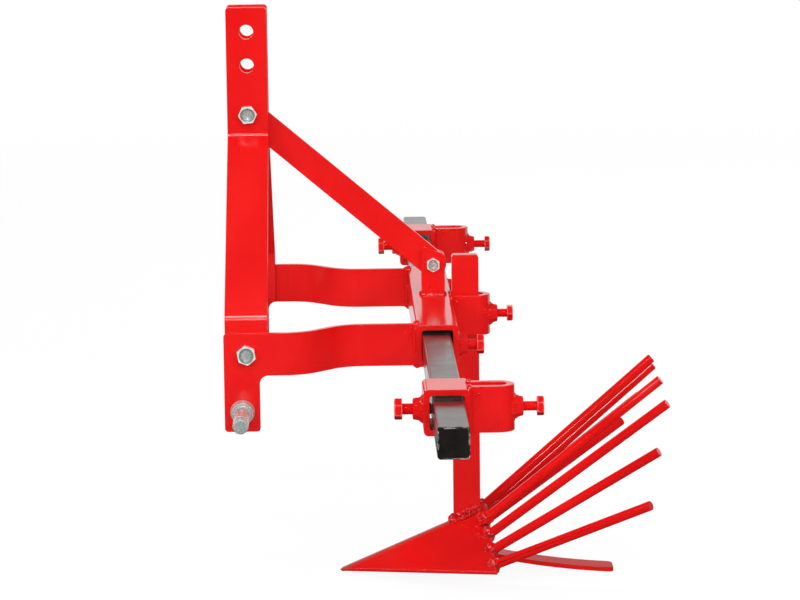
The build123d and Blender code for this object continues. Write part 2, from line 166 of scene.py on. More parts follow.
def makeWorld(s):
    world = bpy.data.worlds.new("studioWorld")
    bpy.context.scene.world = world
    tree = freshTree(world)
    coord = addNode(tree, "ShaderNodeTexCoord")
    axes = addNode(tree, "ShaderNodeSeparateXYZ")
    tree.links.new(coord.outputs["Generated"], axes.inputs[0])
    back = rangeNode(tree, axes.outputs["X"], *s["sweepEdge"], 0, 1, True)
    low = rangeNode(tree, axes.outputs["Z"], *s["sweepTop"], 0, 1, True)
    sweep = mathNode(tree, "MULTIPLY", back, low)
    glow = rangeNode(tree, sweep, 0, 1, s["roomGlow"], s["sweepGlow"])
    path = addNode(tree, "ShaderNodeLightPath")
    ambient = addNode(tree, "ShaderNodeBackground", Color=(1, 1, 1, 1), Strength=s["ambient"])
    gloss = addNode(tree, "ShaderNodeBackground", Color=(1, 1, 1, 1))
    tree.links.new(glow, gloss.inputs["Strength"])
    white = addNode(tree, "ShaderNodeBackground", Color=(1, 1, 1, 1), Strength=1.0)
    lit = mixShader(tree, path.outputs["Is Glossy Ray"], ambient.outputs[0], gloss.outputs[0])
    seen = mathNode(tree, "MAXIMUM", path.outputs["Is Camera Ray"], path.outputs["Is Transmission Ray"])
    out = addNode(tree, "ShaderNodeOutputWorld")
    tree.links.new(mixShader(tree, seen, lit, white.outputs[0]), out.inputs["Surface"])


def makeLamps(s):
    for name, place, width, height, watts, seenInGloss in s["lamps"]:
        data = bpy.data.lights.new(name, "AREA")
        data.shape = "RECTANGLE"
        data.size = width
        data.size_y = height
        data.energy = watts
        lamp = bpy.data.objects.new(name, data)
        bpy.context.scene.collection.objects.link(lamp)
        lamp.location = place
        lamp.visible_glossy = seenInGloss
        aim = Vector(s["lampTarget"]) - Vector(place)
        lamp.rotation_euler = aim.to_track_quat("-Z", "Y").to_euler()


def makeFloor(s):
    mat = bpy.data.materials.new("paleFloor")
    tree = freshTree(mat)
    coord = addNode(tree, "ShaderNodeTexCoord")
    axes = addNode(tree, "ShaderNodeSeparateXYZ")
    tree.links.new(coord.outputs["Object"], axes.inputs[0])
    glow = rangeNode(tree, axes.outputs["X"], *s["floorFar"], s["sweepGlow"], s["roomGlow"], True)
    distance = addNode(tree, "ShaderNodeVectorMath", operation="LENGTH")
    tree.links.new(coord.outputs["Object"], distance.inputs[0])
    fade = rangeNode(tree, distance.outputs["Value"], s["floorFade"], s["floorRadius"], 0, 1, True)
    path = addNode(tree, "ShaderNodeLightPath")
    seen = mathNode(tree, "MAXIMUM", path.outputs["Is Camera Ray"], path.outputs["Is Transmission Ray"])
    share = mathNode(tree, "MULTIPLY", seen, s["floorWhite"])
    matt = addNode(tree, "ShaderNodeBsdfDiffuse", Color=s["floorColour"])
    white = addNode(tree, "ShaderNodeEmission", Color=(1, 1, 1, 1), Strength=s["floorGlow"])
    gloss = addNode(tree, "ShaderNodeEmission", Color=(1, 1, 1, 1))
    tree.links.new(glow, gloss.inputs["Strength"])
    shadowed = mixShader(tree, share, matt.outputs[0], white.outputs[0])
    both = mixShader(tree, path.outputs["Is Glossy Ray"], shadowed, gloss.outputs[0])
    clear = addNode(tree, "ShaderNodeBsdfTransparent")
    out = addNode(tree, "ShaderNodeOutputMaterial")
    tree.links.new(mixShader(tree, fade, both, clear.outputs[0]), out.inputs["Surface"])
    bm = bmesh.new()
    bmesh.ops.create_circle(bm, cap_ends=True, segments=96, radius=s["floorRadius"])
    mesh = bpy.data.meshes.new("paleFloor")
    bm.to_mesh(mesh)
    bm.free()
    mesh.materials.append(mat)
    floor = bpy.data.objects.new("paleFloor", mesh)
    bpy.context.scene.collection.objects.link(floor)


makeWorld(studioSet)
makeLamps(studioSet)
makeFloor(studioSet)
print("studio lit")


# finishes
redEnamelSet = {
    "colour": (0.86, 0.007, 0.006),
    "deepColour": (0.79, 0.005, 0.006),
    "edgeLightAndShadeColour": (0.60, 0.010, 0.009),   # painted shade along the edges
    "roughness": (0.11, 0.18),
    "shine": 1.8,
    "cloudScale": 7.0,
    "cloudStops": (0.32, 0.6),
    "peelScale": 380.0,
    "peelHeight": 0.008,
    "peelStrength": 0.3,
    "sagScale": 55.0,
    "sagHeight": 0.012,
    "sagStrength": 0.25,
    "edgeWidth": 1.6,
    "nibbleScale": 160.0,
    "nibbleSpan": (0.35, 0.65),
    "edgeLightAndShadeShare": (0.15, 0.9),
}
heelEnamelSet = {
    **redEnamelSet,
    "blotchColour": (0.52, 0.10, 0.085),    # browner on the heel's upward faces near the ground
    "lowFaceHeight": (0.040, 0.012),
    "lowFaceTilt": (0.5, 0.9),
    "lowFaceShare": (0.35, 0.8),
    "lowFaceRoughness": 0.45,
}
shareEnamelSet = {
    **redEnamelSet,
    "edgeLightAndShadeColour": (0.92, 0.15, 0.14),     # painted highlight along the cutting edges
    "edgeWidth": 2.4,
    "ridgeReflectionColour": (0.42, 0.115, 0.095),  # painted reflection along the ridge's bend
    "ridgeReflectionWidth": (0.5, 12.5),
    "ridgeReflectionShare": (0.75, 1.0),
}
roundEnamelSet = {
    **redEnamelSet,
    "roughness": (0.06, 0.09),
    "shine": 1.85,
    "peelHeight": 0.0001,
    "sagHeight": 0.0002,
}
screwEnamelSet = {
    **redEnamelSet,
    "edgeLightAndShadeColour": (0.92, 0.58, 0.56),     # rubbed pale by the spanner, and a painted highlight on the head's edges
    "edgeWidth": 2.6,
    "nibbleScale": 330.0,
    "plane": (1, 0, 1),                   # across the screw
    "headReach": (0.34, 0.40),            # outside the thread
    "roughness": (0.06, 0.12),
    "underShadeColour": (0.42, 0.004, 0.004),  # painted shade on faces that look down
    "under": (-0.20, -0.85),
}
weldEnamelSet = {
    **redEnamelSet,
    "roughness": (0.05, 0.10),
    "shine": 2.1,
    "pitShadeColour": (0.34, 0.003, 0.003),    # painted shade in the pits between the ripples
    "pitDepth": 5.0,
    "pitShadeSpan": (0.70, 0.30),
}


def edgeMask(tree, width, turn=(0.98, 0.80)):
    # bright where the surface turns over an edge
    rounded = addNode(tree, "ShaderNodeBevel", samples=4)
    rounded.inputs["Radius"].default_value = width * mm
    flat = addNode(tree, "ShaderNodeNewGeometry")
    facing = addNode(tree, "ShaderNodeVectorMath", operation="DOT_PRODUCT")
    tree.links.new(rounded.outputs["Normal"], facing.inputs[0])
    tree.links.new(flat.outputs["Normal"], facing.inputs[1])
    return rangeNode(tree, facing.outputs["Value"], *turn, 0, 1, True)


noiseSpan = (0.3, 0.7)   # most of a noise's values


def noiseNode(tree, coord, scale, detail=2.0, roughness=0.5):
    node = addNode(tree, "ShaderNodeTexNoise", Scale=scale, Detail=detail, Roughness=roughness)
    tree.links.new(coord.outputs["Object"], node.inputs["Vector"])
    return node.outputs["Fac"]


def rampNode(tree, source, stops):
    # two stops, each a place on the ramp and a colour
    node = addNode(tree, "ShaderNodeValToRGB")
    for element, (position, colour) in zip(node.color_ramp.elements, stops):
        element.position = position
        element.color = (*colour, 1)
    tree.links.new(source, node.inputs["Fac"])
    return node.outputs["Color"]


def mixColour(tree, share, first, second):
    node = addNode(tree, "ShaderNodeMix", data_type="RGBA")
    sockets = (node.inputs[0], node.inputs[6], node.inputs[7])
    for socket, value in zip(sockets, (share, first, second)):
        if isinstance(value, tuple):
            socket.default_value = (*value, 1)
        elif isinstance(value, (int, float)):
            socket.default_value = value
        else:
            tree.links.new(value, socket)
    return node.outputs[2]


def bumpNode(tree, height, strength, depth, below=None):
    node = addNode(tree, "ShaderNodeBump", Strength=strength, Distance=depth * mm)
    tree.links.new(height, node.inputs["Height"])
    if below:
        tree.links.new(below, node.inputs["Normal"])
    return node.outputs["Normal"]


def closeMaterial(tree, surface):
    out = addNode(tree, "ShaderNodeOutputMaterial")
    tree.links.new(surface.outputs[0], out.inputs["Surface"])


def lowFaceMask(tree, coord, s):
    # faces near the ground that look up
    axes = addNode(tree, "ShaderNodeSeparateXYZ")
    tree.links.new(coord.outputs["Object"], axes.inputs[0])
    low = rangeNode(tree, axes.outputs["Z"], *s["lowFaceHeight"], 0, 1, True)
    shape = addNode(tree, "ShaderNodeNewGeometry")
    tilt = addNode(tree, "ShaderNodeSeparateXYZ")
    tree.links.new(shape.outputs["True Normal"], tilt.inputs[0])
    return mathNode(tree, "MULTIPLY", low, rangeNode(tree, tilt.outputs["Z"], *s["lowFaceTilt"], 0, 1))


def reachMask(tree, coord, plane, reach):
    # outer part of a screw, by the distance from its middle as a share of its width
    across = addNode(tree, "ShaderNodeVectorMath", operation="MULTIPLY_ADD")
    tree.links.new(coord.outputs["Generated"], across.inputs[0])
    across.inputs[1].default_value = plane
    across.inputs[2].default_value = [-0.5 * share for share in plane]
    distance = addNode(tree, "ShaderNodeVectorMath", operation="LENGTH")
    tree.links.new(across.outputs["Vector"], distance.inputs[0])
    return rangeNode(tree, distance.outputs["Value"], *reach, 0, 1)


def makeRedEnamel(name, s):
    mat = bpy.data.materials.new(name)
    tree = freshTree(mat)
    coord = addNode(tree, "ShaderNodeTexCoord")
    cloud = noiseNode(tree, coord, s["cloudScale"], 4.0, 0.6)
    tone = rampNode(tree, cloud, zip(s["cloudStops"], (s["deepColour"], s["colour"])))
    nibble = noiseNode(tree, coord, s["nibbleScale"], 3.0, 0.6)
    # painted shade along edges; on the share and the screws this is a painted highlight instead
    edge = edgeMask(tree, s["edgeWidth"])
    edgeLightAndShade = mathNode(tree, "MULTIPLY", edge, rangeNode(tree, nibble, *s["nibbleSpan"], *s["edgeLightAndShadeShare"]))
    if "headReach" in s:
        edgeLightAndShade = mathNode(tree, "MULTIPLY", edgeLightAndShade, reachMask(tree, coord, s["plane"], s["headReach"]))
    colour = mixColour(tree, edgeLightAndShade, tone, s["edgeLightAndShadeColour"])
    gloss = rangeNode(tree, cloud, *noiseSpan, *s["roughness"])
    if "blotchColour" in s:
        # browner and rougher in blotches on low upward faces
        ground = lowFaceMask(tree, coord, s)
        lowFaceBlotch = mathNode(tree, "MULTIPLY", ground, rangeNode(tree, nibble, *noiseSpan, *s["lowFaceShare"]))
        colour = mixColour(tree, lowFaceBlotch, colour, s["blotchColour"])
        gloss = mathNode(tree, "ADD", gloss, mathNode(tree, "MULTIPLY", ground, s["lowFaceRoughness"]))
    if "ridgeReflectionColour" in s:
        # painted reflection band along the share's ridge
        across = addNode(tree, "ShaderNodeSeparateXYZ")
        tree.links.new(coord.outputs["Object"], across.inputs[0])
        away = mathNode(tree, "ABSOLUTE", across.outputs["X"], 0.0)
        ends = [width * mm for width in s["ridgeReflectionWidth"]]
        ridgeReflectionMask = rangeNode(tree, away, *ends, 1, 0)
        ridgeReflectionMask = mathNode(tree, "MULTIPLY", ridgeReflectionMask, rangeNode(tree, nibble, *noiseSpan, *s["ridgeReflectionShare"]))
        colour = mixColour(tree, ridgeReflectionMask, colour, s["ridgeReflectionColour"])
    if "underShadeColour" in s:
        # painted shade on faces that look down
        shape = addNode(tree, "ShaderNodeNewGeometry")
        tilt = addNode(tree, "ShaderNodeSeparateXYZ")
        tree.links.new(shape.outputs["Normal"], tilt.inputs[0])
        below = rangeNode(tree, tilt.outputs["Z"], *s["under"], 0, 1)
        colour = mixColour(tree, below, colour, s["underShadeColour"])
    if "pitShadeColour" in s:
        # painted shade in the pits, where ambient occlusion is high
        hidden = addNode(tree, "ShaderNodeAmbientOcclusion", samples=6)
        hidden.inputs["Distance"].default_value = s["pitDepth"] * mm
        pitShade = rangeNode(tree, hidden.outputs["AO"], *s["pitShadeSpan"], 0, 1)
        colour = mixColour(tree, pitShade, colour, s["pitShadeColour"])
    peel = noiseNode(tree, coord, s["peelScale"], 1.0)
    sag = noiseNode(tree, coord, s["sagScale"], 2.0)
    normal = bumpNode(tree, sag, s["sagStrength"], s["sagHeight"])
    normal = bumpNode(tree, peel, s["peelStrength"], s["peelHeight"], normal)
    paint = addNode(tree, "ShaderNodeBsdfPrincipled", IOR=s["shine"])
    tree.links.new(colour, paint.inputs["Base Color"])
    tree.links.new(gloss, paint.inputs["Roughness"])
    tree.links.new(normal, paint.inputs["Normal"])
    closeMaterial(tree, paint)
    return mat


blackEnamelSet = {
    "colour": (0.022, 0.021, 0.020),
    "blotchColour": (0.060, 0.055, 0.050),
    "roughness": (0.10, 0.24),
    "shine": 1.5,
    "cloudScale": 22.0,
    "cloudStops": (0.35, 0.75),
    "peelScale": 300.0,
    "peelBump": (0.10, 0.02),
    "scratchStretch": (3.0, 260.0, 260.0),
    "scratchBump": (0.08, 0.02),
}


def makeBlackEnamel(s):
    mat = bpy.data.materials.new("blackEnamel")
    tree = freshTree(mat)
    coord = addNode(tree, "ShaderNodeTexCoord")
    cloud = noiseNode(tree, coord, s["cloudScale"], 5.0, 0.65)
    colour = rampNode(tree, cloud, zip(s["cloudStops"], (s["colour"], s["blotchColour"])))
    gloss = rangeNode(tree, cloud, *noiseSpan, *s["roughness"])
    along = addNode(tree, "ShaderNodeMapping")
    along.inputs["Scale"].default_value = s["scratchStretch"]
    tree.links.new(coord.outputs["Object"], along.inputs["Vector"])
    scratch = addNode(tree, "ShaderNodeTexNoise", Scale=1.0, Detail=3.0)
    tree.links.new(along.outputs["Vector"], scratch.inputs["Vector"])
    peel = noiseNode(tree, coord, s["peelScale"], 1.0)
    normal = bumpNode(tree, scratch.outputs["Fac"], *s["scratchBump"])
    normal = bumpNode(tree, peel, *s["peelBump"], normal)
    paint = addNode(tree, "ShaderNodeBsdfPrincipled", IOR=s["shine"])
    tree.links.new(colour, paint.inputs["Base Color"])
    tree.links.new(gloss, paint.inputs["Roughness"])
    tree.links.new(normal, paint.inputs["Normal"])
    closeMaterial(tree, paint)
    return mat


zincSet = {
    "coolColour": (0.55, 0.66, 0.62),
    "warmColour": (0.84, 0.81, 0.79),
    "grimeColour": (0.22, 0.25, 0.22),
    "roughness": (0.20, 0.36),
    "metallic": (0.55, 0.20),
    "rimHighlightColour": (0.90, 0.91, 0.88),   # painted highlight along the edges, with rubbed zinc
    "rimHighlightWidth": 1.5,
    "rimHighlightTurn": (0.995, 0.93),
    "cloudScale": 130.0,
    "cloudStops": (0.40, 0.65),
    "spotScale": 300.0,
    "spotBump": (0.3, 0.05),
    "grimeSpan": (0.58, 0.72),
    "grimeShare": 0.5,
}
boltZincSet = {
    **zincSet,
    "plane": (0, 1, 1),                   # across the bolt
    "grooveShadeColour": (0.20, 0.30, 0.26),   # painted shade in a ring inside the chamfer
    "grooveReach": (0.25, 0.33),
    "grooveShadeShare": 0.75,
    # bright ring painted as a highlight on the chamfer
    "rimReach": (0.385, 0.415),
}


def makeZincPlate(name, s):
    mat = bpy.data.materials.new(name)
    tree = freshTree(mat)
    coord = addNode(tree, "ShaderNodeTexCoord")
    cloud = noiseNode(tree, coord, s["cloudScale"])
    tone = rampNode(tree, cloud, zip(s["cloudStops"], (s["coolColour"], s["warmColour"])))
    spots = noiseNode(tree, coord, s["spotScale"], 2.0, 0.6)
    grime = rangeNode(tree, spots, *s["grimeSpan"], 0, s["grimeShare"])
    colour = mixColour(tree, grime, tone, s["grimeColour"])
    if "rimReach" in s:
        # on bolt heads a painted dark ring and a painted highlight ring on the chamfer
        groove = reachMask(tree, coord, s["plane"], s["grooveReach"])
        groove = mathNode(tree, "MULTIPLY", groove, s["grooveShadeShare"])
        colour = mixColour(tree, groove, colour, s["grooveShadeColour"])
        edge = reachMask(tree, coord, s["plane"], s["rimReach"])
    else:
        # elsewhere a painted highlight along the edges, with rubbed zinc
        edge = edgeMask(tree, s["rimHighlightWidth"], s["rimHighlightTurn"])
    colour = mixColour(tree, edge, colour, s["rimHighlightColour"])
    gloss = rangeNode(tree, spots, *noiseSpan, *s["roughness"])
    normal = bumpNode(tree, spots, *s["spotBump"])
    metal = addNode(tree, "ShaderNodeBsdfPrincipled")
    tree.links.new(rangeNode(tree, edge, 0, 1, *s["metallic"]), metal.inputs["Metallic"])
    tree.links.new(colour, metal.inputs["Base Color"])
    tree.links.new(gloss, metal.inputs["Roughness"])
    tree.links.new(normal, metal.inputs["Normal"])
    closeMaterial(tree, metal)
    return mat


capSet = {
    "colour": (0.009, 0.0075, 0.0065),
    "dullColour": (0.015, 0.013, 0.012),
    "scuffColour": (0.62, 0.60, 0.57),
    "scuffWidth": 2.6,
    "scuffTurn": (0.99, 0.90),
    "knockScale": 130.0,
    "knockSpan": (0.50, 0.56),
    "roughness": (0.25, 0.40),
    "shine": 1.48,
    "cloudScale": 60.0,
    "cloudStops": (0.4, 0.72),
    "grainScale": 1500.0,
    "grainBump": (0.25, 0.04),
}


def makeCapPlastic(s):
    mat = bpy.data.materials.new("capPlastic")
    tree = freshTree(mat)
    coord = addNode(tree, "ShaderNodeTexCoord")
    cloud = noiseNode(tree, coord, s["cloudScale"], 4.0, 0.6)
    tone = rampNode(tree, cloud, zip(s["cloudStops"], (s["colour"], s["dullColour"])))
    edge = edgeMask(tree, s["scuffWidth"], s["scuffTurn"])
    knock = rangeNode(tree, noiseNode(tree, coord, s["knockScale"], 3.0, 0.7), *s["knockSpan"], 0, 1)
    colour = mixColour(tree, mathNode(tree, "MULTIPLY", edge, knock), tone, s["scuffColour"])
    grain = noiseNode(tree, coord, s["grainScale"], 2.0)
    gloss = rangeNode(tree, cloud, *noiseSpan, *s["roughness"])
    plastic = addNode(tree, "ShaderNodeBsdfPrincipled", IOR=s["shine"])
    tree.links.new(colour, plastic.inputs["Base Color"])
    tree.links.new(gloss, plastic.inputs["Roughness"])
    tree.links.new(bumpNode(tree, grain, *s["grainBump"]), plastic.inputs["Normal"])
    closeMaterial(tree, plastic)
    return mat


finishes = {
    "red_paint": makeRedEnamel("redEnamel", redEnamelSet),
    "black_paint": makeBlackEnamel(blackEnamelSet),
    "zinc_plate": makeZincPlate("zincPlate", zincSet),
    "black_plastic": makeCapPlastic(capSet),
}
roundEnamel = makeRedEnamel("redEnamelOnRounds", roundEnamelSet)
heelEnamel = makeRedEnamel("redEnamelOnHeel", heelEnamelSet)
screwEnamel = makeRedEnamel("redEnamelOnScrews", screwEnamelSet)
weldEnamel = makeRedEnamel("redEnamelOnWelds", weldEnamelSet)
shareEnamel = makeRedEnamel("redEnamelOnShare", shareEnamelSet)
boltZinc = makeZincPlate("zincPlateOnBolts", boltZincSet)
for name, node in nodes.items():
    node.data.materials.clear()
    node.data.materials.append(finishes[slotOf[name]])
print("finishes mixed")


# new pieces
def newPiece(name, bm, body, slotName, sharpAngle=None):
    bmesh.ops.recalc_face_normals(bm, faces=bm.faces)
    mesh = bpy.data.meshes.new(name)
    bm.to_mesh(mesh)
    bm.free()
    welded = name.endswith(("_weld", "_mound", "_spatter"))
    mesh.materials.append(weldEnamel if welded else finishes[slotName])
    mesh.shade_smooth()
    if sharpAngle:
        mesh.set_sharp_from_angle(angle=math.radians(sharpAngle))
    piece = bpy.data.objects.new(name, mesh)
    bpy.context.scene.collection.objects.link(piece)
    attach(piece, body)
    return piece


# plates, bars and tubes with their edges eased under the paint
easedSet = {
    "width": 0.9,
    "segments": 3,
    "angle": 32.0,
    "joinGap": 0.002,
    "flatAngle": 0.3,
    "flatWeight": 50,
    "nodes": (
        "left_mast_bar", "right_mast_bar", "left_arm", "right_arm", "brace_bar", "brace_lugs", "sleeve",
        "centre_loop", "left_collar", "right_collar", "left_loop", "right_loop", "shank", "heel", "share",
        "left_hitch_pin", "right_hitch_pin",
        *(f"{side}_rod_{number}" for side in ("left", "right") for number in (1, 2, 3, 4)),
    ),
    "others": {"heel": 0.5, "left_arm": 0.4, "right_arm": 0.4, "left_hitch_pin": 0.6, "right_hitch_pin": 0.6},
}


def easeEdges(name, s):
    bm = bmesh.new()
    bm.from_mesh(nodes[name].data)
    bmesh.ops.remove_doubles(bm, verts=bm.verts, dist=s["joinGap"] * mm)
    bmesh.ops.dissolve_limit(bm, angle_limit=math.radians(s["flatAngle"]), verts=bm.verts, edges=bm.edges)
    piece = newPiece("eased_" + name, bm, bodyOf[name], slotOf[name])
    bevel = piece.modifiers.new("easedEdges", "BEVEL")
    bevel.width = s["others"].get(name, s["width"]) * mm
    bevel.segments = s["segments"]
    bevel.limit_method = "ANGLE"
    bevel.angle_limit = math.radians(s["angle"])
    bevel.use_clamp_overlap = False
    flatten = piece.modifiers.new("flatFaces", "WEIGHTED_NORMAL")
    flatten.mode = "FACE_AREA"
    flatten.weight = s["flatWeight"]
    flatten.keep_sharp = True
    if "_rod_" in name:
        piece.data.materials[0] = roundEnamel
    elif name == "heel":
        piece.data.materials[0] = heelEnamel
    elif name == "share":
        piece.data.materials[0] = shareEnamel
    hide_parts(name)


for name in easedSet["nodes"]:
    easeEdges(name, easedSet)
print("edges eased on", len(easedSet["nodes"]), "pieces")


# set screws and bolts with cut threads and chamfered heads
def turnedSpot(place, angle, reach, height):
    return place @ (Vector((reach * math.cos(angle), reach * math.sin(angle), height)) * mm)


def bridgeLoops(bm, loops, closed=False):
    for low, high in zip(loops, loops[1:] + (loops[:1] if closed else [])):
        for corner in range(len(low)):
            after = (corner + 1) % len(low)
            bm.faces.new((low[corner], low[after], high[after], high[corner]))
    if not closed:
        bm.faces.new(loops[0])
        bm.faces.new(loops[-1])


def lathe(bm, place, rings, sides, turn):
    # each ring gives its reach and height at an angle
    loops = []
    for ring in rings:
        angles = [2 * math.pi * step / sides + turn for step in range(sides)]
        loops.append([bm.verts.new(turnedSpot(place, angle, *ring(angle))) for angle in angles])
    bridgeLoops(bm, loops)


def axisFrame(origin, axis, zero):
    along = Vector(axis).normalized()
    first = Vector(zero)
    second = along.cross(first)
    return Matrix.Translation(origin) @ Matrix((first, second, along)).transposed().to_4x4()


threadSet = {
    "sides": 36,
    "steps": 8,
    "above": 0.15,
    "below": 0.55,
    "tip": 1.2,
    "chamfer": 30.0,
    "circle": 0.97,     # chamfer circle, rim and floor of the dish, as shares of half the flats
    "rim": 0.80,
    "floor": 0.66,
    "ease": 0.6,
    "easeAngle": 24.0,
    "sharpAngle": 30.0,
}
barScrew = {"radius": 7.35, "pitch": 2.0, "head": 10.0, "flats": 24.0, "dish": 0.35}
loopScrew = {"radius": 6.35, "pitch": 2.0, "head": 8.8, "flats": 22.0, "dish": 0.35}
mastBolt = {"radius": 7.35, "pitch": 2.0, "head": 10.0, "flats": 24.0, "dish": 0.7}
braceBolt = {"radius": 5.45, "pitch": 1.75, "head": 7.5, "flats": 18.0, "dish": 0.5}
screwSet = (
    # node, way the head points, corner's turn, make
    ("centre_loop_screw", (0, 1, 0), 30, loopScrew),
    ("left_loop_screw", (0, 1, 0), 0, loopScrew),
    ("right_loop_screw", (0, 1, 0), 0, loopScrew),
    ("left_sleeve_screw", (0, 1, 0), 0, barScrew),
    ("right_sleeve_screw", (0, 1, 0), 0, barScrew),
    ("left_collar_screw", (0, -1, 0), 0, barScrew),
    ("right_collar_screw", (0, -1, 0), 0, barScrew),
    ("top_bolt", (1, 0, 0), 35, mastBolt),
    ("left_arm_bolt", (1, 0, 0), 9, mastBolt),
    ("right_arm_bolt", (-1, 0, 0), -9, mastBolt),
    ("brace_bolt", (1, 0, 0), 0, braceBolt),
)


def makeScrew(name, axis, turn, make, s):
    low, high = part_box(name)
    along = Vector(axis)
    total = abs((high - low).dot(along)) / mm
    shaft = total - make["head"]
    place = axisFrame((low + high) / 2 - along * total / 2 * mm, axis, (0, 0, 1))
    turn = math.radians(turn)
    half = make["flats"] / 2

    def threadRing(height):
        def ring(angle):
            wave = (height / make["pitch"] - angle / (2 * math.pi)) % 1
            crest = abs(2 * wave - 1)
            reach = make["radius"] - s["below"] + (s["below"] + s["above"]) * crest
            if height < s["tip"]:
                reach = min(reach, make["radius"] - s["tip"] + height)
            return reach, height
        return ring

    def roundRing(reach, height):
        return lambda angle: (reach, height)

    def hexReach(angle):
        return half / math.cos((angle - turn) % (math.pi / 3) - math.pi / 6)

    def footRing(angle):
        return hexReach(angle), shaft

    def cornerRing(angle):
        reach = hexReach(angle)
        return reach, total - (reach - half) * math.tan(math.radians(s["chamfer"]))

    bm = bmesh.new()
    count = int(shaft / make["pitch"] * s["steps"])
    thread = [threadRing(shaft * step / count) for step in range(count)]
    lathe(bm, place, [*thread, roundRing(make["radius"], shaft)], s["sides"], turn)
    head = bmesh.new()
    face = [roundRing(half * s["circle"], total), roundRing(half * s["rim"], total)]
    face.append(roundRing(half * s["floor"], total - make["dish"]))
    lathe(head, place, [footRing, cornerRing, *face], s["sides"], turn)
    hard = [e for e in head.edges if e.calc_face_angle() > math.radians(s["easeAngle"])]
    bmesh.ops.bevel(head, geom=hard, offset=s["ease"] * mm, segments=2, profile=0.5, affect="EDGES")
    spare = bpy.data.meshes.new("spareHead")
    head.to_mesh(spare)
    head.free()
    bm.from_mesh(spare)
    bpy.data.meshes.remove(spare)
    piece = newPiece("threaded_" + name, bm, bodyOf[name], slotOf[name], s["sharpAngle"])
    piece.data.materials[0] = screwEnamel if name.endswith("_screw") else boltZinc
    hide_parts(name)


for row in screwSet:
    makeScrew(*row, threadSet)
print("screws and bolts cut:", len(screwSet))


# weld beads
beadSet = {
    "sides": 14,
    "step": 0.6,
    "smooth": 2,
    "pitch": 3.6,
    "groove": 0.24,
    "lag": 0.9,
    "wobble": 0.25,
    "wobbleScale": 0.12,
    "lumps": 0.30,
    "lumpScale": 0.55,
    "endShare": 0.55,   # thickness at an open end
}
dressedBead = {**beadSet, "groove": 0.06, "wobble": 0.12, "lumps": 0.10}   # ground over before painting
coarseBead = {**beadSet, "pitch": 5.5, "groove": 0.30, "wobble": 0.40, "lumps": 0.55}
heavyBead = {**beadSet, "pitch": 7.0, "groove": 0.32, "wobble": 0.50, "lumps": 0.70}


def roundCorners(points, times, closed):
    for turn in range(times):
        cut = []
        pairs = list(zip(points, points[1:] + points[:1])) if closed else list(zip(points, points[1:]))
        for first, second in pairs:
            cut += [first.lerp(second, 0.25), first.lerp(second, 0.75)]
        points = cut if closed else [points[0]] + cut + [points[-1]]
    return points


def evenSteps(points, step, closed):
    line = points + points[:1] if closed else points
    lengths = [(b - a).length for a, b in zip(line, line[1:])]
    total = sum(lengths)
    count = max(4, round(total / step))
    spots = []
    for number in range(count if closed else count + 1):
        goal = total * number / count
        for a, b, length in zip(line, line[1:], lengths):
            if goal <= length + 1e-9:
                spots.append(a.lerp(b, min(1, goal / length)))
                break
            goal -= length
        else:
            spots.append(line[-1].copy())
    return spots, total / count


def weldBead(name, body, points, radius, outward, s, closed=False):
    # points in millimetres; outward tells which way the bead's face looks at a spot
    rng = random.Random(name)
    seed = rng.uniform(0, 100)
    points = [Vector(p) for p in points]
    spots, step = evenSteps(roundCorners(points, s["smooth"], closed), s["step"], closed)
    bm = bmesh.new()
    loops = []
    last = len(spots) - 1
    length = step * len(spots)
    waves = max(2, round(length / s["pitch"]))
    for number, spot in enumerate(spots):
        before = spots[number - 1] if closed else spots[max(number - 1, 0)]
        after = spots[(number + 1) % len(spots)] if closed else spots[min(number + 1, last)]
        along = (after - before).normalized()
        face = Vector(outward(spot) if callable(outward) else outward)
        face = (face - along * face.dot(along)).normalized()
        side = along.cross(face)
        swell = 1 + s["wobble"] * noise.noise(Vector((number * step * s["wobbleScale"], seed, 0)))
        if not closed:
            fromEnd = min(number, last - number) * step / radius
            swell *= min(1, s["endShare"] + (1 - s["endShare"]) * fromEnd)
        loop = []
        for corner in range(s["sides"]):
            angle = 2 * math.pi * corner / s["sides"]
            lag = s["lag"] * radius * (1 - math.cos(angle))
            phase = (number * step + lag) / length * waves
            groove = 1 - s["groove"] * (1 - math.sqrt(abs(math.sin(math.pi * phase))))
            reach = radius * swell * groove
            way = face * math.cos(angle) + side * math.sin(angle)
            lump = 1 + s["lumps"] * noise.noise((spot + way * radius) * s["lumpScale"])
            loop.append(bm.verts.new((spot + way * reach * lump) * mm))
        loops.append(loop)
    bridgeLoops(bm, loops, closed)
    newPiece(name, bm, body, "red_paint")


def boxMm(name):
    low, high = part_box(name)
    return low / mm, high / mm


# mounds of weld and drops of spatter, squashed on to the face below them
blobSet = {"coarseScale": 1.7, "fineScale": 4.3, "fineShare": 0.6}


def addBlob(bm, place, up, along, sizes, rough, seed, level, s):
    rise = Vector(up).normalized()
    second = rise.cross(along)
    wide, deep, tall = sizes
    for vert in bmesh.ops.create_icosphere(bm, subdivisions=level, radius=1.0)["verts"]:
        way = vert.co.copy()
        lump = 1 + rough * noise.noise(way * s["coarseScale"] + Vector((seed, 0, 0)))
        lump += rough * s["fineShare"] * noise.noise(way * s["fineScale"] + Vector((0, seed, 0)))
        spot = along * way.x * wide + second * way.y * deep + rise * way.z * tall
        vert.co = (Vector(place) + spot * lump) * mm


spatterSet = {"size": (0.6, 1.5), "squash": 0.75, "rough": 0.5, "level": 2}


def spatter(name, body, spots, s):
    rng = random.Random(name)
    bm = bmesh.new()
    for place, up in spots:
        size = s["size"][0] + (s["size"][1] - s["size"][0]) * rng.random() ** 2
        along = Vector(up).normalized().orthogonal().normalized()
        sizes = (size, size, size * s["squash"])
        addBlob(bm, place, up, along, sizes, s["rough"], rng.uniform(0, 100), s["level"], blobSet)
    newPiece(name, bm, body, "red_paint")


